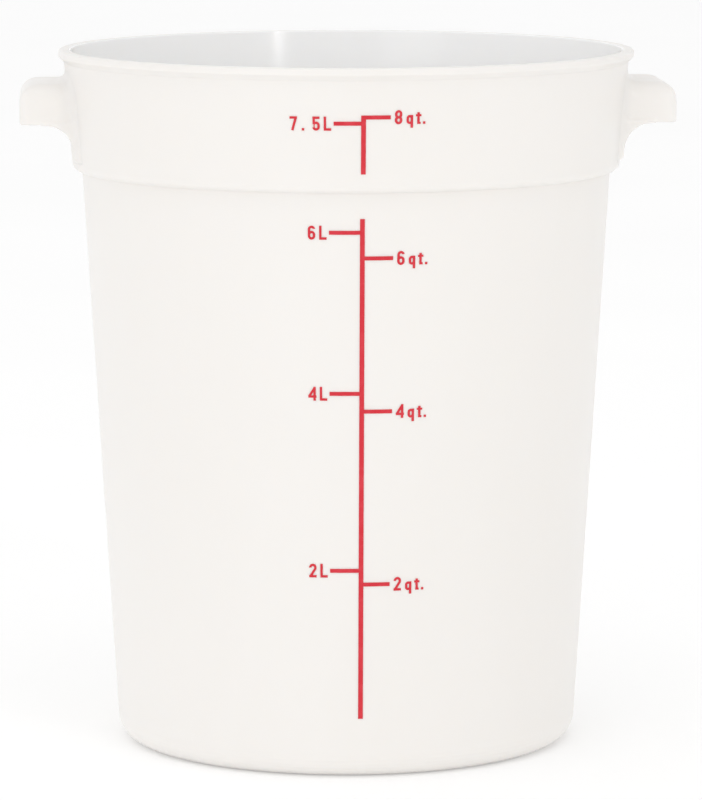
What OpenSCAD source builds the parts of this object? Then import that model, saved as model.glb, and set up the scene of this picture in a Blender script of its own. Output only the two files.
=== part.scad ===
// Round tapered food tub for proofing and storing dough: one thin moulding with a wider
// stacking collar, an out-turned rim lip and two hollow lug handles, and a printed volume
// scale, litres on the left and quarts on the right.
// Millimetres. The origin is the centre of the resting face, +Z is up, the scale faces -Y
// and the handles point along X.

/* [Tub] */
// Height from the resting face to the top of the rim
tub_h = 275; // [270:1:285]
// Outside diameter of the body just under the shoulder
body_top_d = 208.8; // [208:0.2:211]
// Outside diameter of the body just above its rounded base corner
body_bottom_d = 182.6; // [178:0.2:188]
// Outside radius of the rounded base corner
base_corner_r = 9.5; // [8:0.5:12]
// Wall thickness of the moulding
wall_t = 2.4; // [2:0.1:2.8]
// Thickness of the floor panel
floor_t = 2.6; // [2.2:0.1:3]
// Depth of the shallow recess inside the foot ring
foot_recess = 0.8; // [0.5:0.1:1.2]
// Inside diameter of the flat foot ring
foot_ring_d = 136; // [120:1:150]

/* [Collar and rim] */
// Height of the shoulder, where the collar steps out from the body
shoulder_z = 227.6; // [222:0.2:230]
// Outside diameter of the collar just above its rounded shoulder
collar_bottom_d = 216.8; // [216:0.2:218]
// Outside diameter of the collar just under the lip
collar_top_d = 222.8; // [221:0.2:224]
// Outside diameter of the rim lip
rim_d = 227; // [226:0.5:229]
// Height of the upright outer face of the rim lip
lip_face_h = 2.6; // [2:0.1:3.2]

/* [Handles] */
// Width of the tub over both handles
handle_span = 258.6; // [256:0.2:268]
// Width of a handle along the rim
handle_w = 50; // [44:1:56]
// Height of a handle
handle_h = 16.3; // [15:0.1:20]
// Distance from the top of the rim down to the top of a handle
handle_drop = 11.7; // [10:0.1:14]
// Radius of the rounded outer upper edge of a handle
handle_edge_r = 8.8; // [6:0.1:10]
// Radius of the rounded upper edges at the two ends of a handle
handle_end_r = 7.7; // [5:0.1:9]
// Radius of the upright corners of a handle
handle_corner_r = 5; // [4:0.5:8]
// Radius of the small lower edge of a handle
handle_hem_r = 1.5; // [1:0.1:2]
// Radius of the concave gusset under each end wall of a handle
gusset_r = 13; // [8:0.5:15]

/* [Printed scale] */
// Width of the upright line of the scale
line_w = 1.8; // [1.4:0.1:2.4]
// Thickness of the cross ticks
tick_w = 1.5; // [1.2:0.1:2]
// Height of the numbers
digit_h = 5.3; // [4.8:0.1:6]
// Stroke width of the numbers and letters
stroke_w = 0.9; // [0.7:0.05:1.1]
// Thickness of the printed ink
ink_t = 0.2; // [0.15:0.05:0.3]

/* [Hidden] */
$fn = 96;
overlap = 1;
body_r1 = body_bottom_d / 2;
body_r2 = body_top_d / 2;
collar_r1 = collar_bottom_d / 2;
collar_r2 = collar_top_d / 2;
rim_r = rim_d / 2;
// The rounded base corner is tangent to the sloping wall and to the resting face
body_slope = (body_r2 - body_r1) / (shoulder_z - base_corner_r);
slope_k = sqrt(1 + body_slope * body_slope);
corner_x = body_r1 - base_corner_r * slope_k;
floor_z = foot_recess + floor_t;
inner_corner_r = base_corner_r - wall_t;
inner_corner_z = floor_z + inner_corner_r;
body_z = base_corner_r + 3;
// The shoulder is a quarter round as wide as the step from body to collar
shoulder_r = collar_r1 - body_r2;
collar_z1 = shoulder_z + shoulder_r;
lip_z1 = tub_h - lip_face_h;
collar_z2 = lip_z1 - (rim_r - collar_r2);
rim_z = collar_z2 - 1.8;
rim_edge_r = 0.8;
// The gate is the small round mark that moulding leaves at the centre of the underside
gate_r = 7;
gate_depth = 0.5;
gate_nub_r = 1.6;
handle_x = handle_span / 2;
handle_z2 = tub_h - handle_drop;
handle_z1 = handle_z2 - handle_h;
// A handle starts inside the collar wall, which then cuts it to its curve
handle_root_x = collar_r1 - 8;
// Each mark of the scale: its height, how far its tick reaches from the line, and its label
mark_8_qt = [256.5, 10.2];
mark_7_5_l = [254.2, 11.2];
mark_6_l = [212.5, 12.6];
mark_6_qt = [202.7, 11.7];
mark_4_l = [150.8, 12.2];
mark_4_qt = [143.9, 11.6];
mark_2_l = [82.1, 11.8];
mark_2_qt = [76.7, 11];
upper_line = [235, mark_8_qt[0] + tick_w / 2];
lower_line = [23.9, 217.7];
litre_label_gap = 2.3;
quart_label_gap = 3;
glyph_w = 2.8;
// How far apart the letters of a label stand, from centre to centre
unit_pitch = 4.3;
plastic = [0.94, 0.93, 0.9];
ink = [0.84, 0.1, 0.2];

// Body radius at a height, and collar radius at a height
function body_r(z) = body_r1 + body_slope * (z - base_corner_r);
function collar_r(z) = collar_r1 + (collar_r2 - collar_r1) * (z - collar_z1) / (collar_z2 - collar_z1);

// Half section of the space that the outside of the moulding encloses
module outside_section() {
    tangent_x = corner_x + base_corner_r / slope_k;
    tangent_z = base_corner_r - base_corner_r * body_slope / slope_k;
    square([corner_x, base_corner_r]);
    intersection() {
        translate([corner_x, base_corner_r]) circle(base_corner_r);
        translate([corner_x, 0]) square([base_corner_r, base_corner_r]);
    }
    polygon([[0, tangent_z], [tangent_x, tangent_z], [body_r2, shoulder_z], [0, shoulder_z]]);
    intersection() {
        translate([collar_r1 - shoulder_r, collar_z1]) circle(shoulder_r);
        translate([0, shoulder_z]) square([collar_r1, shoulder_r]);
    }
    translate([0, shoulder_z]) square([body_r2, shoulder_r]);
    polygon([
        [0, collar_z1], [collar_r1, collar_z1], [collar_r2, collar_z2],
        [rim_r, lip_z1], [rim_r, tub_h - rim_edge_r], [0, tub_h - rim_edge_r]
    ]);
    intersection() {
        translate([rim_r - rim_edge_r, tub_h - rim_edge_r]) circle(rim_edge_r);
        translate([rim_r - rim_edge_r, tub_h - rim_edge_r]) square(rim_edge_r);
    }
    translate([0, tub_h - rim_edge_r]) square([rim_r - rim_edge_r, rim_edge_r]);
}

// Half section of the hollow inside, one wall thickness in from the outside
module inside_section() {
    inner_ledge_z = shoulder_z + wall_t;
    inner_x = body_r(inner_corner_z) - wall_t;
    ledge_r = shoulder_r - wall_t;
    brim_r = collar_r2 - wall_t;
    translate([0, floor_z]) square([inner_x - inner_corner_r, inner_corner_r]);
    intersection() {
        translate([inner_x - inner_corner_r, inner_corner_z]) circle(inner_corner_r);
        translate([inner_x - inner_corner_r, floor_z]) square([inner_corner_r, inner_corner_r]);
    }
    polygon([
        [0, inner_corner_z], [inner_x, inner_corner_z],
        [body_r(inner_ledge_z) - wall_t, inner_ledge_z], [0, inner_ledge_z]
    ]);
    translate([0, inner_ledge_z]) square([collar_r1 - wall_t - ledge_r, ledge_r]);
    intersection() {
        translate([collar_r1 - wall_t - ledge_r, collar_z1]) circle(ledge_r);
        translate([collar_r1 - wall_t - ledge_r, inner_ledge_z]) square([ledge_r, ledge_r]);
    }
    polygon([
        [0, collar_z1], [collar_r1 - wall_t, collar_z1], [brim_r, collar_z2],
        [brim_r, tub_h - rim_edge_r / 2], [brim_r + rim_edge_r / 2, tub_h],
        [brim_r + rim_edge_r / 2, tub_h + overlap], [0, tub_h + overlap]
    ]);
}

// Half section of the shallow recess under the floor, with the gate mark at its centre
module recess_section() {
    ring_r = foot_ring_d / 2;
    polygon([
        [0, -overlap], [ring_r + overlap, -overlap], [ring_r - foot_recess, foot_recess], [0, foot_recess]
    ]);
    translate([gate_nub_r, 0]) square([gate_r - gate_nub_r, foot_recess + gate_depth]);
}

// The part of the moulding between two radii and two heights, turned into a ring
module moulding_ring(r1, r2, z1, z2) {
    rotate_extrude() {
        intersection() {
            difference() {
                outside_section();
                inside_section();
                recess_section();
            }
            translate([r1, z1]) square([r2 - r1, z2 - z1]);
        }
    }
}

module floor_panel() {
    color(plastic) moulding_ring(0, corner_x, 0, floor_z);
}

module base_corner() {
    color(plastic) moulding_ring(corner_x, rim_r, 0, body_z);
}

module body_wall() {
    color(plastic) moulding_ring(corner_x, rim_r, body_z, shoulder_z);
}

module stacking_collar() {
    color(plastic) moulding_ring(corner_x, rim_r, shoulder_z, rim_z);
}

module rim_lip() {
    color(plastic) moulding_ring(corner_x, rim_r, rim_z, tub_h);
}

// The space inside the collar's outer face, which trims the root of a handle
module collar_core() {
    translate([0, 0, collar_z1]) {
        cylinder(h = collar_z2 - collar_z1, r1 = collar_r1, r2 = collar_r2);
    }
}

// A rectangle from the origin to [w, h] with its far upper corner rounded, and its far lower one if asked
module far_rounded_rect(w, h, r_up, r_low = 0) {
    square([w - r_up, h]);
    translate([0, r_low]) square([w, h - r_up - r_low]);
    translate([w - r_up, h - r_up]) circle(r_up);
    if (r_low > 0) {
        square([w - r_low, h / 2]);
        translate([w - r_low, r_low]) circle(r_low);
    }
}

// The same rectangle and its mirror image, so that it is centred across
module centred_rounded_rect(w, h, r_up) {
    far_rounded_rect(w / 2, h, r_up);
    mirror([1, 0]) far_rounded_rect(w / 2, h, r_up);
}

// A rounded block: drawn in from the handle's outside by an inset, and let down by an extra drop
module handle_block(inset, drop) {
    reach = handle_x - handle_root_x - inset;
    w = handle_w - 2 * inset;
    h = handle_h - inset + drop;
    edge_r = handle_edge_r - inset;
    end_r = handle_end_r - inset;
    corner_r = handle_corner_r - inset;
    hem_r = max(handle_hem_r - inset, 0);
    translate([handle_root_x, 0, handle_z1 - drop]) {
        intersection() {
            translate([0, w / 2, 0]) rotate([90, 0, 0]) linear_extrude(w) {
                far_rounded_rect(reach, h, edge_r, hem_r);
            }
            rotate([0, 0, -90]) linear_extrude(h) centred_rounded_rect(w, reach, corner_r);
            rotate([90, 0, 90]) linear_extrude(reach) centred_rounded_rect(w, h, end_r);
        }
    }
}

// The concave web that carries an end wall of a handle down onto the collar, at that wall's own place
module handle_gusset(y) {
    root_x = sqrt(pow(collar_r(handle_z1), 2) - y * y);
    translate([0, y, 0]) rotate([90, 0, 0]) translate([0, 0, -wall_t / 2]) linear_extrude(wall_t) {
        difference() {
            translate([handle_root_x, handle_z1 - gusset_r]) {
                square([root_x + gusset_r - handle_root_x, gusset_r + overlap]);
            }
            translate([root_x + gusset_r, handle_z1 - gusset_r]) circle(gusset_r);
        }
    }
}

// Hollow lug handle, open underneath for the fingers
module handle_shape() {
    end_y = (handle_w - wall_t) / 2;
    difference() {
        union() {
            difference() {
                handle_block(0, 0);
                handle_block(wall_t, overlap);
            }
            handle_gusset(-end_y);
            handle_gusset(end_y);
        }
        collar_core();
    }
}

module handle_right() {
    color(plastic) handle_shape();
}

module handle_left() {
    color(plastic) mirror([1, 0, 0]) handle_shape();
}

// A thin skin that lies on the body
module body_skin() {
    z1 = base_corner_r;
    h = shoulder_z - z1;
    translate([0, 0, z1]) difference() {
        cylinder(h = h, r1 = body_r1 + ink_t, r2 = body_r2 + ink_t);
        cylinder(h = h, r1 = body_r1, r2 = body_r2);
    }
}

// A thin skin that lies on the collar
module collar_skin() {
    h = collar_z2 - collar_z1;
    translate([0, 0, collar_z1]) difference() {
        cylinder(h = h, r1 = collar_r1 + ink_t, r2 = collar_r2 + ink_t);
        cylinder(h = h, r1 = collar_r1, r2 = collar_r2);
    }
}

// Ink laid on the front of the tub: a flat shape in X and Z, wrapped at a distance along the wall
module printed(z, along) {
    on_collar = z > collar_z1;
    radius = on_collar ? collar_r(z) : body_r(z);
    color(ink) rotate([0, 0, along / radius * 180 / PI]) intersection() {
        if (on_collar) {
            collar_skin();
        } else {
            body_skin();
        }
        translate([0, -radius + 8, 0]) rotate([90, 0, 0]) linear_extrude(16) children();
    }
}

module scale_line(ends) {
    printed((ends[0] + ends[1]) / 2, 0) {
        translate([-line_w / 2, ends[0]]) square([line_w, ends[1] - ends[0]]);
    }
}

// A cross tick from the edge of the line outwards, to the left (-1) or to the right (1)
module tick(mark, side) {
    length = mark[1] - line_w / 2;
    printed(mark[0], side * (line_w + length) / 2) {
        translate([-length / 2, mark[0] - tick_w / 2]) square([length, tick_w]);
    }
}

// A straight stroke between two points
module stroke(a, b) {
    d = b - a;
    translate(a) rotate(atan2(d[1], d[0])) {
        translate([0, -stroke_w / 2]) square([norm(d), stroke_w]);
    }
}

// An upright shape with half-round ends, centred
module stadium(w, h) {
    square([w, h - w], center = true);
    for (end = [-1, 1]) {
        translate([0, end * (h - w) / 2]) circle(w / 2);
    }
}

// The outline of a stadium, drawn with one stroke width
module loop(w, h) {
    difference() {
        stadium(w, h);
        stadium(w - 2 * stroke_w, h - 2 * stroke_w);
    }
}

// Plain stroke-drawn signs, each centred on x = 0 with its foot at y = 0
module sign_2() {
    bowl_h = 3.4;
    intersection() {
        translate([0, digit_h - bowl_h / 2]) loop(glyph_w, bowl_h);
        union() {
            translate([-glyph_w / 2, digit_h - bowl_h / 2 + 0.2]) square([glyph_w, bowl_h]);
            translate([0.3, digit_h - bowl_h / 2 - 0.2]) square([glyph_w, bowl_h]);
        }
    }
    stroke([-glyph_w / 2 + 0.5, stroke_w / 2], [glyph_w / 2 - 0.4, digit_h - bowl_h / 2 - 0.1]);
    translate([-glyph_w / 2, 0]) square([glyph_w, stroke_w]);
}

module sign_4() {
    stem_x = 0.45;
    bar_y = 1.1;
    translate([stem_x, 0]) square([stroke_w, digit_h]);
    translate([-glyph_w / 2 - 0.1, bar_y]) square([glyph_w + 0.3, stroke_w]);
    stroke([-glyph_w / 2 + 0.2, bar_y + stroke_w / 2], [stem_x + stroke_w / 2, digit_h - stroke_w / 2]);
}

module sign_5() {
    bowl_h = 3.4;
    intersection() {
        translate([0, bowl_h / 2]) loop(glyph_w, bowl_h);
        union() {
            translate([-glyph_w / 2, 0]) square([glyph_w, 1.2]);
            translate([-glyph_w / 2 + stroke_w / 2, 0]) square([glyph_w, bowl_h]);
        }
    }
    translate([-glyph_w / 2 + 0.1, 2.4]) square([stroke_w, digit_h - 2.4]);
    translate([-glyph_w / 2 + 0.1, digit_h - stroke_w]) square([glyph_w - 0.2, stroke_w]);
}

module sign_6() {
    bowl_h = 3.3;
    translate([0, bowl_h / 2]) loop(glyph_w, bowl_h);
    intersection() {
        translate([0, digit_h / 2]) loop(glyph_w, digit_h);
        union() {
            translate([-glyph_w / 2, bowl_h / 2]) square([glyph_w / 2, digit_h]);
            translate([-glyph_w / 2, digit_h - 1.2]) square([glyph_w, digit_h]);
        }
    }
}

module sign_7() {
    translate([-glyph_w / 2, digit_h - stroke_w]) square([glyph_w, stroke_w]);
    stroke([-0.4, 0.05], [glyph_w / 2 - stroke_w / 2, digit_h - stroke_w / 2]);
}

module sign_8() {
    low_h = 3.1;
    translate([0, low_h / 2]) loop(glyph_w, low_h);
    translate([0, digit_h - (digit_h - low_h + stroke_w) / 2]) {
        loop(glyph_w - 0.1, digit_h - low_h + stroke_w);
    }
}

module sign_l() {
    translate([-glyph_w / 2, 0]) square([stroke_w, digit_h]);
    translate([-glyph_w / 2, 0]) square([glyph_w, stroke_w]);
}

module sign_q() {
    bowl_h = 3.4;
    translate([0, bowl_h / 2]) loop(glyph_w - 0.3, bowl_h);
    translate([glyph_w / 2 - 0.15 - stroke_w, -1.4]) square([stroke_w, bowl_h + 1.4]);
}

module sign_t() {
    translate([-stroke_w / 2 - 0.1, 0]) square([stroke_w, digit_h - 0.9]);
    translate([-1.1, digit_h - 2.4]) square([2.1, stroke_w * 0.85]);
    translate([-stroke_w / 2 - 0.1, 0]) square([1.3, stroke_w * 0.85]);
}

module sign_point() {
    translate([-stroke_w / 2, 0]) square(stroke_w);
}

module digit(value) {
    if (value == 2) sign_2();
    if (value == 4) sign_4();
    if (value == 5) sign_5();
    if (value == 6) sign_6();
    if (value == 7) sign_7();
    if (value == 8) sign_8();
}

// A number of quarts to the right of its tick
module quart_label(mark, value) {
    first = mark[1] + quart_label_gap;
    last = first + 2.8 * unit_pitch;
    middle = (first + last) / 2;
    printed(mark[0], middle) translate([first - middle, mark[0] - digit_h / 2]) {
        digit(value);
        translate([unit_pitch, 0]) sign_q();
        translate([1.8 * unit_pitch, 0]) sign_t();
        translate([2.3 * unit_pitch, 0]) sign_point();
    }
}

// A number of litres to the left of its tick, with a half after the point where it has one
module litre_label(mark, value) {
    last = -mark[1] - litre_label_gap;
    whole = floor(value);
    has_half = value > whole;
    first = last - (has_half ? 3 : 1) * unit_pitch;
    middle = (first + last) / 2;
    printed(mark[0], middle) translate([last - middle, mark[0] - digit_h / 2]) {
        sign_l();
        if (has_half) {
            translate([-unit_pitch, 0]) sign_5();
            translate([-2.15 * unit_pitch, 0]) sign_point();
        }
        translate([first - last, 0]) digit(whole);
    }
}

floor_panel();
base_corner();
body_wall();
stacking_collar();
rim_lip();
handle_left();
handle_right();
scale_line(upper_line);  // scale_line_upper
scale_line(lower_line);  // scale_line_lower
tick(mark_8_qt, 1);  // tick_8_qt
tick(mark_6_qt, 1);  // tick_6_qt
tick(mark_4_qt, 1);  // tick_4_qt
tick(mark_2_qt, 1);  // tick_2_qt
tick(mark_7_5_l, -1);  // tick_7_5_l
tick(mark_6_l, -1);  // tick_6_l
tick(mark_4_l, -1);  // tick_4_l
tick(mark_2_l, -1);  // tick_2_l
quart_label(mark_8_qt, 8);  // label_8_qt
quart_label(mark_6_qt, 6);  // label_6_qt
quart_label(mark_4_qt, 4);  // label_4_qt
quart_label(mark_2_qt, 2);  // label_2_qt
litre_label(mark_7_5_l, 7.5);  // label_7_5_l
litre_label(mark_6_l, 6);  // label_6_l
litre_label(mark_4_l, 4);  // label_4_l
litre_label(mark_2_l, 2);  // label_2_l
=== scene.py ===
# Looks for the round dough tub: one moulding in milky plastic, two lug handles and a red printed scale.
import math

import bpy
import numpy as np
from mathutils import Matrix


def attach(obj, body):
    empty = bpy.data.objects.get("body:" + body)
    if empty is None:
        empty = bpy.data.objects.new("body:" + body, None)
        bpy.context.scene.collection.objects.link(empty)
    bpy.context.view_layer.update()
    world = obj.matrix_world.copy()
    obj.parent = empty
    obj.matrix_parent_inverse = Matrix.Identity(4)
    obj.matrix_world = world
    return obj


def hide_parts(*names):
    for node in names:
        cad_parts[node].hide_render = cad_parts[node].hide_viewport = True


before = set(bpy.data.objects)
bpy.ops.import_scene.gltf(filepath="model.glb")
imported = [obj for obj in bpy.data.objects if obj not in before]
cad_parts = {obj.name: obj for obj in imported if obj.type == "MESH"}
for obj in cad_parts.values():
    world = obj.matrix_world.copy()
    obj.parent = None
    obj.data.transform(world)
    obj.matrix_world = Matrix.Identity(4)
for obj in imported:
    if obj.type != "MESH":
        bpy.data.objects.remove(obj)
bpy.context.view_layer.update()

# Sizes of the tub in millimetres, the same named values as in the part's source
MM = 0.001
TUB_H = 275.0
BODY_TOP_R = 104.4
BODY_BOTTOM_R = 91.3
BASE_CORNER_R = 9.5
WALL_T = 2.4
FLOOR_T = 2.6
FOOT_RECESS = 0.8
FOOT_RING_R = 68.0
SHOULDER_Z = 227.6
COLLAR_R1 = 108.4
COLLAR_R2 = 111.4
COLLAR_Z1 = 231.6
COLLAR_Z2 = 270.3
RIM_R = 113.5
LIP_Z1 = 272.4
GATE_R = 7.0
GATE_DEPTH = 0.5
GATE_NUB_R = 1.6
FLOOR_Z = FOOT_RECESS + FLOOR_T
HANDLE_X = 129.3
HANDLE_HALF_W = 25.0
HANDLE_Z1 = 247.0
HANDLE_Z2 = 263.3
HANDLE_EDGE_R = 8.8
HANDLE_END_R = 7.7
HANDLE_CORNER_R = 5.0
HANDLE_HEM_R = 1.5
GUSSET_R = 13.0
MOULDING_NODES = ("floor_panel", "base_corner", "body_wall", "stacking_collar", "rim_lip")
TUB_SEGMENTS = 360
TOP_TOLERANCE = 0.001

# Where a handle's surfaces run into one another, in millimetres: the widths of their blends, how far
# each part reaches into the next, and the band of collar that the handle grows out of
EDGE_BLEND = 1.6
HEM_BLEND = 0.4
HOLLOW_BLEND = 0.9
WEB_BLEND = 1.0
ROOT_FILLET = 5.0
WEB_OVERLAP = 1.0
ROOT_DEPTH = 0.8
BAND_SINK = 0.03
BAND_DEPTH = 1.6
BAND_HALF_W = 31.0
BAND_Z1 = 232.4
BAND_Z2 = 268.3

# The grid on which a handle's surface is found: its corners and its step, in millimetres
GRID_LOW = (98.0, -32.4, 230.6)
GRID_HIGH = (131.0, 32.4, 270.2)
GRID_STEP = 0.6

# Colours as linear red, green and blue, and the plastic's two finishes: the (smoothest, roughest)
# patches, and the weight and distance in metres of the light that travels inside the wall
OUTSIDE_COLOUR = (0.862, 0.840, 0.815, 1)
OUTSIDE_CLOUD = (0.838, 0.812, 0.778, 1)
OUTSIDE_ROUGHNESS = (0.30, 0.42)
OUTSIDE_SCATTER = (0.35, 0.002)
# The inside colours are paler than the outside ones: painted light, standing in for the light that
# comes through the milky wall into the tub
INSIDE_PAINTED_LIGHT_COLOUR = (0.975, 0.972, 0.968, 1)
INSIDE_PAINTED_LIGHT_CLOUD = (0.962, 0.958, 0.952, 1)
INSIDE_ROUGHNESS = (0.10, 0.18)
INSIDE_SCATTER = (0.25, 0.002)
PLASTIC_IOR = 1.49
INK_COLOUR = (0.640, 0.014, 0.030, 1)
INK_THIN_COLOUR = (0.730, 0.062, 0.085, 1)
INK_IOR = 1.46
FLOOR_COLOUR = (0.93, 0.93, 0.93, 1)
FLOOR_PATCH_COLOUR = (0.918, 0.918, 0.918, 1)
AIR_LEFT = (1.11, 1.11, 1.11, 1)
AIR_RIGHT = (0.93, 0.93, 0.93, 1)
WHITE = (1, 1, 1, 1)
BLACK = (0, 0, 0, 1)

# Heights of the bumps, in metres
PEEL_HEIGHT = 0.00004
INK_HEIGHT = 0.00003

# Floor and surround
FLOOR_HALF = 20.0
FLOOR_DROP = 0.00005
FLOOR_GLOW = 0.15
OVERHEAD_SHADE = 0.22

# Area lights, aimed at the middle of the tub: place and size in metres, and power in watts
TUB_MIDDLE = (0.0, 0.0, 0.15)
SOFTBOXES = {
    "key_softbox": ((-1.9, -3.0, 0.75), (1.6, 1.0), 5.0),
    "strip_softbox": ((1.15, -2.3, 0.75), (0.09, 0.9), 3.5),
    "top_softbox": ((0.1, -1.0, 2.4), (1.4, 1.4), 3.5),
}

# Camera: where the photograph was taken from, as fitted to the tub's outline
CAMERA_PLACE = (-0.1182, -1.9890, 0.4106)
CAMERA_PITCH = 7.885
CAMERA_TURN = 3.4568
FOCAL_PIXELS = 5044.0
SENSOR = 36.0
FRAME_H = 800


# Mesh helpers
def mesh_object(name, verts, faces, material):
    """A smooth-shaded mesh object made from arrays of corner places in metres and of face corners."""
    mesh = bpy.data.meshes.new(name)
    mesh.from_pydata(verts.tolist(), [], [row for block in faces for row in block.tolist()])
    mesh.polygons.foreach_set("use_smooth", np.ones(len(mesh.polygons), dtype=bool))
    mesh.update()
    mesh.materials.append(material)
    piece = bpy.data.objects.new(name, mesh)
    bpy.context.scene.collection.objects.link(piece)
    return piece


def rounded_path(corners, arc_step=11.0):
    """Points of a polyline with rounded corners.

    corners holds (radius from the axis, height, fillet). At each inner corner the two sides are cut
    back by fillet * tan(turn / 2), and an arc that is tangent to both joins the cuts.
    """
    xy = np.array([c[:2] for c in corners], dtype=float)
    points = [xy[0]]
    for before, corner, after, (_, _, fillet) in zip(xy[:-2], xy[1:-1], xy[2:], corners[1:-1]):
        way_in = (corner - before) / np.linalg.norm(corner - before)
        way_out = (after - corner) / np.linalg.norm(after - corner)
        turn = math.acos(np.clip(way_in @ way_out, -1, 1))
        start = corner - way_in * fillet * math.tan(turn / 2)
        inward = way_out - way_in * (way_in @ way_out)
        inward /= np.linalg.norm(inward)
        count = max(4, int(math.degrees(turn) / arc_step) + 2)
        swept = np.linspace(0, turn, count)[:, None]
        arc = start + fillet * (np.sin(swept) * way_in + (1 - np.cos(swept)) * inward)
        points.extend(arc)
    points.append(xy[-1])
    return np.array(points)


def with_supports(path, near=0.3, longest=12.0):
    """The same path with more points on each long straight: near both its ends, and evenly between."""
    out = [path[0]]
    for a, b in zip(path[:-1], path[1:]):
        length = np.linalg.norm(b - a)
        if length > 3 * near:
            steps = np.linspace(near, length - near, max(2, int(length / longest) + 2))
            out.extend(a + (b - a) * (s / length) for s in steps)
        out.append(b)
    return np.array(out)


def revolve(name, path, segments, material):
    """A closed surface of revolution: path point (r, z) goes to (r cos angle, r sin angle, z).

    The first and last points lie on the axis, and a fan of triangles closes each of these poles.
    The faces come as one band of quads for each step of the path, then the first fan, then the last.
    """
    angle = np.arange(segments) * (2 * np.pi / segments)
    ring = path[1:-1]
    x = ring[:, :1] * np.cos(angle)
    y = ring[:, :1] * np.sin(angle)
    z = np.repeat(ring[:, 1:], segments, axis=1)
    grid = np.stack([x, y, z], axis=-1).reshape(-1, 3)
    poles = np.array([[0, 0, path[0, 1]], [0, 0, path[-1, 1]]])
    verts = np.vstack([grid, poles]) * MM
    number = np.arange(len(grid)).reshape(len(ring), segments)
    after = np.roll(number, -1, axis=1)
    quads = np.stack([number[:-1], after[:-1], after[1:], number[1:]], axis=-1).reshape(-1, 4)
    first_pole = np.full(segments, len(grid))
    last_pole = first_pole + 1
    first_fan = np.stack([first_pole, after[0], number[0]], axis=-1)
    last_fan = np.stack([number[-1], after[-1], last_pole], axis=-1)
    return mesh_object(name, verts, (quads, first_fan, last_fan), material)


def finish_and_painted_light_of_faces(path, segments):
    """For each face of the revolved tub, 0 for the outside finish or 1 for the inside finish, which is
    glossier and also paler by painted light.

    The inside finish starts just past the last path point on the flat top of the rim and runs to the
    last fan, in the middle of the floor.
    """
    bands = len(path) - 3
    last_on_top = np.flatnonzero(path[:, 1] >= TUB_H - TOP_TOLERANCE)[-1]
    finish = np.zeros(bands + 2, dtype=np.int32)
    finish[last_on_top:bands] = 1
    finish[-1] = 1
    return np.repeat(finish, segments)


# Signed distances for the handles, in millimetres: negative inside, positive outside
def smooth_max(a, b, reach):
    """The larger of two distances. Where they differ by less than reach, a quarter of reach times the
    square of the missing share is added, which rounds off the crease between them."""
    blend = np.maximum(reach - np.abs(a - b), 0) / reach
    return np.maximum(a, b) + blend * blend * reach / 4


def smooth_min(a, b, reach):
    """The smaller of two distances, rounded off in the same way."""
    return -smooth_max(-a, -b, reach)


def rounded_corner(u, v, far_u, far_v, radius):
    """Distance to a quarter plane that ends at far_u and far_v, with its corner rounded: the distance
    to the quarter plane that is cut back by radius on both sides, less radius."""
    du = u - (far_u - radius)
    dv = v - (far_v - radius)
    outside = np.hypot(np.maximum(du, 0), np.maximum(dv, 0))
    return outside + np.minimum(np.maximum(du, dv), 0) - radius


def collar_radius(z):
    """Outside radius of the tapered collar at a height."""
    return COLLAR_R1 + (COLLAR_R2 - COLLAR_R1) * (z - COLLAR_Z1) / (COLLAR_Z2 - COLLAR_Z1)


def block_distance(x, y, z, inset, floor):
    """A block rounded along its outer, end and upright edges: three rounded profiles that intersect.

    inset makes the same block smaller all round. floor is the height of its underside, or None for
    a block that is open downwards.
    """
    end_y = HANDLE_HALF_W - inset
    reach = HANDLE_X - inset
    top = HANDLE_Z2 - inset
    side = rounded_corner(x, z, reach, top, HANDLE_EDGE_R - inset)
    plan = rounded_corner(np.abs(y), x, end_y, reach, HANDLE_CORNER_R - inset)
    end = rounded_corner(np.abs(y), z, end_y, top, HANDLE_END_R - inset)
    block = smooth_max(smooth_max(side, end, EDGE_BLEND), plan, EDGE_BLEND)
    if floor is not None:
        hem = rounded_corner(x, -z, reach, -floor, HANDLE_HEM_R)
        block = smooth_max(block, hem, HEM_BLEND)
    return block


def handle_distance(place):
    """Distance to a handle: a hollow rounded block with webs under its ends, grown out of the collar.

    A web is a thin plate with a hollow-curved outer edge. The band is a thin piece of the collar's
    wall, sunk just under its face, and the handle runs into it with a fillet.
    """
    x, y, z = place[..., 0], place[..., 1], place[..., 2]
    from_axis = np.hypot(x, y)
    collar = collar_radius(z)
    outer = block_distance(x, y, z, 0.0, HANDLE_Z1)
    hollow = block_distance(x, y, z, WALL_T, None)
    shell = smooth_max(outer, -hollow, HOLLOW_BLEND)
    web_y = HANDLE_HALF_W - WALL_T / 2
    web_x = math.sqrt(collar_radius(HANDLE_Z1) ** 2 - web_y ** 2) + GUSSET_R
    web_z = HANDLE_Z1 - GUSSET_R
    curve = GUSSET_R - np.hypot(x - web_x, z - web_z)
    web = np.maximum.reduce([curve, x - web_x, z - HANDLE_Z1 - WEB_OVERLAP, web_z - z])
    web = smooth_max(web, np.abs(np.abs(y) - web_y) - WALL_T / 2, HOLLOW_BLEND)
    handle = smooth_min(shell, web, WEB_BLEND)
    handle = np.maximum(handle, collar - ROOT_DEPTH - from_axis)
    band = np.maximum(from_axis - collar + BAND_SINK, collar - BAND_DEPTH - from_axis)
    band = np.maximum.reduce([band, np.abs(y) - BAND_HALF_W, z - BAND_Z2, BAND_Z1 - z])
    return smooth_min(handle, band, ROOT_FILLET)


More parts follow.
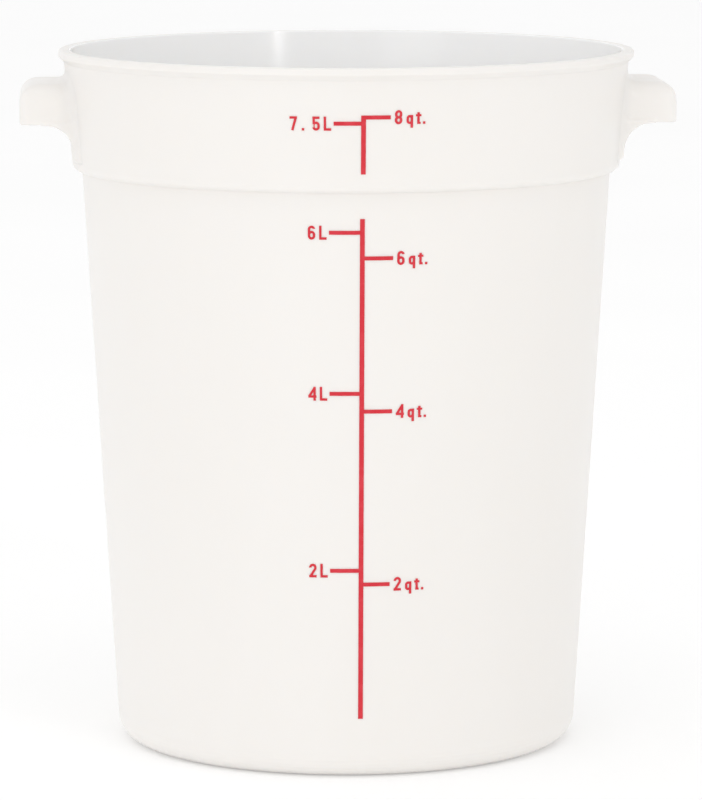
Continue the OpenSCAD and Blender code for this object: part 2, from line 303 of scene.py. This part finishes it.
def surface_net(value, start, step):
    """The zero surface of a grid of distances: one point in each cell that it crosses, and one quad
    across each grid line that it crosses. A cell's point is the mean of the crossings on its lines."""
    cells = tuple(n - 1 for n in value.shape)
    total = np.zeros(cells + (3,))
    count = np.zeros(cells)
    crossed = []
    for axis in range(3):
        low = np.moveaxis(value, axis, 0)[:-1]
        high = np.moveaxis(value, axis, 0)[1:]
        cross = (low < 0) != (high < 0)
        part = np.where(cross, low / np.where(cross, low - high, 1), 0)
        spot = np.argwhere(cross)
        along = spot[:, 0] + part[cross]
        spot = np.insert(np.delete(spot, 0, axis=1), axis, spot[:, 0], axis=1)
        place = spot.astype(float)
        place[:, axis] = along
        others = [a for a in range(3) if a != axis]
        corners = []
        for du, dv in ((1, 1), (0, 1), (0, 0), (1, 0)):
            cell = spot.copy()
            cell[:, others[0]] -= du
            cell[:, others[1]] -= dv
            corners.append(cell)
            np.add.at(total, tuple(cell.T), place)
            np.add.at(count, tuple(cell.T), 1)
        flip = (low[cross] < 0) == (axis == 1)
        crossed.append((corners, flip))
    used = count > 0
    number = np.full(cells, -1)
    number[used] = np.arange(used.sum())
    verts = start + step * total[used] / count[used][:, None]
    quads = []
    for corners, flip in crossed:
        quad = np.stack([number[tuple(c.T)] for c in corners], axis=-1)
        quads.append(np.where(flip[:, None], quad[:, ::-1], quad))
    return verts, np.vstack(quads)


def settle(verts, distance, rounds=3, furthest=0.3, flattest=0.25):
    """Moves each point by its distance over the square of the distance's slope, along that slope,
    until it lies on the zero surface. A move ends at furthest, and the square counts as flattest
    at least."""
    small = 0.02
    steps = np.eye(3) * small
    for _ in range(rounds):
        here = distance(verts)
        rises = [distance(verts + s) - distance(verts - s) for s in steps]
        slope = np.stack(rises, axis=-1) / (2 * small)
        square = np.maximum((slope * slope).sum(axis=-1), flattest)
        move = slope * (here / square)[:, None]
        verts = verts - np.clip(move, -furthest, furthest)
    return verts


def handle_surface():
    """The right handle as a net of quads, found on a grid and settled on its distance."""
    low = np.array(GRID_LOW)
    high = np.array(GRID_HIGH)
    counts = np.ceil((high - low) / GRID_STEP).astype(int)
    axes = [low[i] + GRID_STEP * np.arange(counts[i]) for i in range(3)]
    grid = np.stack(np.meshgrid(*axes, indexing="ij"), axis=-1)
    verts, quads = surface_net(handle_distance(grid), low, GRID_STEP)
    return settle(verts, handle_distance), quads


# Shader helpers
def node_group(name, inputs, outputs):
    """A shader node group with named sockets: {name: (type, default)} for each side."""
    group = bpy.data.node_groups.new(name, "ShaderNodeTree")
    for side, sockets in (("INPUT", inputs), ("OUTPUT", outputs)):
        for label, (kind, default) in sockets.items():
            socket = group.interface.new_socket(name=label, in_out=side, socket_type=kind)
            if default is not None:
                socket.default_value = default
    return group, group.nodes.new("NodeGroupInput"), group.nodes.new("NodeGroupOutput")


def noise(tree, vector, scale, detail, roughness=0.5, stretch=None):
    """A noise texture's value on a vector, in cycles per metre, which may be stretched first."""
    if stretch is not None:
        mapping = tree.nodes.new("ShaderNodeMapping")
        mapping.inputs["Scale"].default_value = stretch
        tree.links.new(vector, mapping.inputs["Vector"])
        vector = mapping.outputs["Vector"]
    texture = tree.nodes.new("ShaderNodeTexNoise")
    texture.inputs["Scale"].default_value = scale
    texture.inputs["Detail"].default_value = detail
    texture.inputs["Roughness"].default_value = roughness
    tree.links.new(vector, texture.inputs["Vector"])
    return texture.outputs["Fac"]


def remap(tree, value, low, high, to_low, to_high):
    """A value moved from one range to another, clamped. The new ends are numbers or sockets."""
    node = tree.nodes.new("ShaderNodeMapRange")
    tree.links.new(value, node.inputs["Value"])
    node.inputs["From Min"].default_value = low
    node.inputs["From Max"].default_value = high
    for label, end in (("To Min", to_low), ("To Max", to_high)):
        if isinstance(end, (int, float)):
            node.inputs[label].default_value = end
        else:
            tree.links.new(end, node.inputs[label])
    return node.outputs["Result"]


def mixed(tree, factor, first, second):
    """Two colours mixed by a factor."""
    node = tree.nodes.new("ShaderNodeMix")
    node.data_type = "RGBA"
    tree.links.new(factor, node.inputs["Factor"])
    for label, colour in (("A", first), ("B", second)):
        socket = [s for s in node.inputs if s.name == label and s.type == "RGBA"][0]
        if isinstance(colour, tuple):
            socket.default_value = colour
        else:
            tree.links.new(colour, socket)
    return [s for s in node.outputs if s.type == "RGBA"][0]


def arithmetic(tree, operation, first, second):
    """One operation on two values, each a number or a socket."""
    node = tree.nodes.new("ShaderNodeMath")
    node.operation = operation
    for position, value in enumerate((first, second)):
        if isinstance(value, (int, float)):
            node.inputs[position].default_value = value
        else:
            tree.links.new(value, node.inputs[position])
    return node.outputs[0]


def moulded_skin():
    """Skin of a moulding: cloudy flow colour, roughness patches and a fine orange-peel height."""
    group, given, made = node_group(
        "moulded_skin",
        {
            "Vector": ("NodeSocketVector", None),
            "Colour": ("NodeSocketColor", (0.8, 0.8, 0.8, 1)),
            "Cloud": ("NodeSocketColor", (0.7, 0.7, 0.7, 1)),
            "Cloud Strength": ("NodeSocketFloat", 0.5),
            "Roughness Low": ("NodeSocketFloat", 0.3),
            "Roughness High": ("NodeSocketFloat", 0.4),
        },
        {
            "Colour": ("NodeSocketColor", None),
            "Roughness": ("NodeSocketFloat", None),
            "Height": ("NodeSocketFloat", None),
        },
    )
    vector = given.outputs["Vector"]
    # Flow clouds are drawn out upwards, the way that the plastic filled the mould
    flow = noise(group, vector, 9.0, 4.0, 0.55, stretch=(1.0, 1.0, 0.35))
    flow = remap(group, flow, 0.35, 0.7, 0.0, 1.0)
    specks = noise(group, vector, 900.0, 1.0)
    specks = remap(group, specks, 0.68, 0.82, 0.0, 0.35)
    cloud = arithmetic(group, "MULTIPLY", flow, given.outputs["Cloud Strength"])
    cloud = arithmetic(group, "ADD", cloud, arithmetic(group, "MULTIPLY", specks, 0.3))
    colour = mixed(group, cloud, given.outputs["Colour"], given.outputs["Cloud"])
    group.links.new(colour, made.inputs["Colour"])
    # Patches a few centimetres wide are smoother or rougher
    patches = noise(group, vector, 22.0, 5.0, 0.6)
    rough = remap(
        group, patches, 0.3, 0.7, given.outputs["Roughness Low"], given.outputs["Roughness High"]
    )
    group.links.new(rough, made.inputs["Roughness"])
    # Orange peel all over, and upright scuffs
    peel = noise(group, vector, 420.0, 2.0)
    scuffs = noise(group, vector, 60.0, 6.0, 0.7, stretch=(1.0, 1.0, 0.2))
    height = arithmetic(group, "ADD", peel, arithmetic(group, "MULTIPLY", scuffs, 0.6))
    group.links.new(height, made.inputs["Height"])
    return group


def placed(tree, group, **values):
    """A node group placed in a material, with values or sockets for its inputs."""
    node = tree.nodes.new("ShaderNodeGroup")
    node.node_tree = group
    for label, value in values.items():
        socket = node.inputs[label.replace("_", " ")]
        if isinstance(value, bpy.types.NodeSocket):
            tree.links.new(value, socket)
        else:
            socket.default_value = value
    return node


def new_material(name):
    """A material with a fresh Principled shader, and a vector on Object coordinates."""
    material = bpy.data.materials.new(name)
    material.use_nodes = True
    tree = material.node_tree
    tree.nodes.clear()
    out = tree.nodes.new("ShaderNodeOutputMaterial")
    shader = tree.nodes.new("ShaderNodeBsdfPrincipled")
    tree.links.new(shader.outputs["BSDF"], out.inputs["Surface"])
    vector = tree.nodes.new("ShaderNodeTexCoord").outputs["Object"]
    return material, tree, shader, vector


def add_bump(tree, shader, height, distance, strength):
    """A height that feeds the shader's normal."""
    bump = tree.nodes.new("ShaderNodeBump")
    bump.inputs["Strength"].default_value = strength
    bump.inputs["Distance"].default_value = distance
    tree.links.new(height, bump.inputs["Height"])
    tree.links.new(bump.outputs["Normal"], shader.inputs["Normal"])


def milky_plastic(name, skin, colour, cloud, roughness, scatter):
    """Translucent milky polypropylene. roughness is its (smoothest, roughest) patches, and scatter is
    (weight, distance in metres), because light travels a few millimetres in this plastic."""
    material, tree, shader, vector = new_material(name)
    surface = placed(
        tree, skin,
        Vector=vector,
        Colour=colour,
        Cloud=cloud,
        Cloud_Strength=0.55,
        Roughness_Low=roughness[0],
        Roughness_High=roughness[1],
    )
    tree.links.new(surface.outputs["Colour"], shader.inputs["Base Color"])
    tree.links.new(surface.outputs["Roughness"], shader.inputs["Roughness"])
    shader.inputs["IOR"].default_value = PLASTIC_IOR
    shader.inputs["Subsurface Weight"].default_value = scatter[0]
    shader.inputs["Subsurface Radius"].default_value = (1.0, 0.95, 0.88)
    shader.inputs["Subsurface Scale"].default_value = scatter[1]
    add_bump(tree, shader, surface.outputs["Height"], PEEL_HEIGHT, 0.35)
    return material


def printed_red():
    """Flat screen-printed red: thin in places, with a faint speckle and a slightly rough film."""
    material, tree, shader, vector = new_material("red_print_ink")
    film = noise(tree, vector, 260.0, 3.0, 0.6)
    film = remap(tree, film, 0.45, 0.75, 0.0, 0.55)
    pale = noise(tree, vector, 1500.0, 2.0)
    pale = remap(tree, pale, 0.62, 0.80, 0.0, 0.45)
    thin = arithmetic(tree, "MAXIMUM", film, pale)
    colour = mixed(tree, thin, INK_COLOUR, INK_THIN_COLOUR)
    tree.links.new(colour, shader.inputs["Base Color"])
    tree.links.new(remap(tree, film, 0.0, 0.55, 0.42, 0.55), shader.inputs["Roughness"])
    shader.inputs["IOR"].default_value = INK_IOR
    add_bump(tree, shader, pale, INK_HEIGHT, 0.3)
    return material


# Materials
skin_group = moulded_skin()
plastic = milky_plastic(
    "milky_outside", skin_group, OUTSIDE_COLOUR, OUTSIDE_CLOUD, OUTSIDE_ROUGHNESS, OUTSIDE_SCATTER
)
# The inside of the tub: the same plastic, glossier, and paler by painted light that stands in for light
# coming through the wall
glossy_plastic_with_painted_light = milky_plastic(
    "milky_inside_painted_light", skin_group, INSIDE_PAINTED_LIGHT_COLOUR, INSIDE_PAINTED_LIGHT_CLOUD, INSIDE_ROUGHNESS, INSIDE_SCATTER
)
ink = printed_red()

# The tub
body_slope = (BODY_TOP_R - BODY_BOTTOM_R) / (SHOULDER_Z - BASE_CORNER_R)
foot_r = BODY_BOTTOM_R - body_slope * BASE_CORNER_R
ledge_z = SHOULDER_Z + WALL_T
ledge_r = BODY_TOP_R + body_slope * WALL_T - WALL_T
inner_floor_r = foot_r + body_slope * FLOOR_Z - WALL_T
brim_r = COLLAR_R2 - WALL_T
# Half section as (radius, height, fillet), from the centre of the underside, up the outside, over
# the rim and down the inside
section = (
    (0, FOOT_RECESS, 0),
    (GATE_NUB_R, FOOT_RECESS, 0.2),
    (GATE_NUB_R, FOOT_RECESS + GATE_DEPTH, 0.2),
    (GATE_R, FOOT_RECESS + GATE_DEPTH, 0.2),
    (GATE_R, FOOT_RECESS, 0.2),
    (FOOT_RING_R - FOOT_RECESS, FOOT_RECESS, 0.4),
    (FOOT_RING_R, 0, 0.4),
    (foot_r, 0, BASE_CORNER_R),
    (BODY_TOP_R, SHOULDER_Z, 0.5),
    (collar_radius(SHOULDER_Z), SHOULDER_Z, 3.0),
    (COLLAR_R2, COLLAR_Z2, 0.6),
    (RIM_R, LIP_Z1, 0.5),
    (RIM_R, TUB_H, 0.8),
    (brim_r, TUB_H, 0.6),
    (COLLAR_R1 - WALL_T, ledge_z, 1.1),
    (ledge_r, ledge_z, 1.1),
    (inner_floor_r, FLOOR_Z, BASE_CORNER_R - WALL_T),
    (0, FLOOR_Z, 0),
)
tub_path = with_supports(rounded_path(section))
tub = revolve("tub_moulding", tub_path, TUB_SEGMENTS, plastic)
# The inside faces take the glossier plastic that is paler by painted light
tub.data.materials.append(glossy_plastic_with_painted_light)
tub.data.polygons.foreach_set("material_index", finish_and_painted_light_of_faces(tub_path, TUB_SEGMENTS))
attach(tub, "root")
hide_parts(*MOULDING_NODES)

# The handles: the left one is the right one mirrored, with its quads turned back to face outwards
handle_verts, handle_quads = handle_surface()
for side, name in ((1, "handle_right"), (-1, "handle_left")):
    verts = handle_verts * np.array([side, 1, 1]) * MM
    quads = handle_quads if side > 0 else handle_quads[:, ::-1]
    grip = mesh_object(name + "_moulded", verts, (quads,), plastic)
    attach(grip, "root")
    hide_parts(name)

# The printed scale keeps its CAD nodes and takes the ink
for name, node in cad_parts.items():
    if name.startswith(("scale_line", "tick_", "label_")):
        for holder in node.material_slots:
            holder.material = ink


# Floor, light and camera
def pale_floor():
    """A wide sheet under the tub, with a faint unevenness in its paleness."""
    material, tree, shader, vector = new_material("pale_floor")
    uneven = noise(tree, vector, 3.0, 3.0)
    uneven = remap(tree, uneven, 0.3, 0.7, 0.0, 1.0)
    colour = mixed(tree, uneven, FLOOR_COLOUR, FLOOR_PATCH_COLOUR)
    tree.links.new(colour, shader.inputs["Base Color"])
    shader.inputs["Roughness"].default_value = 0.9
    shader.inputs["Specular IOR Level"].default_value = 0.1
    shader.inputs["Emission Color"].default_value = WHITE
    shader.inputs["Emission Strength"].default_value = FLOOR_GLOW
    signs = np.array([[-1, -1], [1, -1], [1, 1], [-1, 1]])
    corners = np.column_stack([signs * FLOOR_HALF, np.full(4, -FLOOR_DROP)])
    sheet = mesh_object("floor_sheet", corners, (np.array([[0, 1, 2, 3]]),), material)


def softbox(name, place, target, size, power):
    """A rectangular area light at a place, turned about the upright axis and tilted to its target."""
    data = bpy.data.lights.new(name, "AREA")
    data.shape = "RECTANGLE"
    data.size, data.size_y = size
    data.energy = power
    lamp = bpy.data.objects.new(name, data)
    bpy.context.scene.collection.objects.link(lamp)
    lamp.location = place
    aim = np.array(target, dtype=float) - np.array(place, dtype=float)
    aim /= np.linalg.norm(aim)
    turn = math.atan2(-aim[0], aim[1])
    tilt = math.acos(np.clip(-aim[2], -1, 1))
    lamp.rotation_euler = (tilt, 0, turn)


def studio_air():
    """An even pale surround, a little darker towards the right and overhead."""
    world = bpy.data.worlds.new("studio_air")
    world.use_nodes = True
    tree = world.node_tree
    tree.nodes.clear()
    out = tree.nodes.new("ShaderNodeOutputWorld")
    background = tree.nodes.new("ShaderNodeBackground")
    split = tree.nodes.new("ShaderNodeSeparateXYZ")
    tree.links.new(tree.nodes.new("ShaderNodeTexCoord").outputs["Generated"], split.inputs["Vector"])
    side = remap(tree, split.outputs["X"], -1.0, 1.0, 0.0, 1.0)
    level = mixed(tree, side, AIR_LEFT, AIR_RIGHT)
    overhead = remap(tree, split.outputs["Z"], 0.1, 1.0, 0.0, OVERHEAD_SHADE)
    tree.links.new(mixed(tree, overhead, level, BLACK), background.inputs["Color"])
    background.inputs["Strength"].default_value = 1.0
    tree.links.new(background.outputs["Background"], out.inputs["Surface"])
    bpy.context.scene.world = world


pale_floor()
studio_air()
for name, (place, size, power) in SOFTBOXES.items():
    softbox(name, place, TUB_MIDDLE, size, power)

camera_data = bpy.data.cameras.new("photo_camera")
camera_data.sensor_width = SENSOR
camera_data.lens = FOCAL_PIXELS * SENSOR / FRAME_H
camera_data.clip_start = 0.1
camera_data.clip_end = 100.0
camera = bpy.data.objects.new("photo_camera", camera_data)
bpy.context.scene.collection.objects.link(camera)
camera.location = CAMERA_PLACE
camera.rotation_euler = (math.radians(90 - CAMERA_PITCH), 0, -math.radians(CAMERA_TURN))
bpy.context.scene.camera = camera
bpy.context.scene.view_settings.view_transform = "Standard"
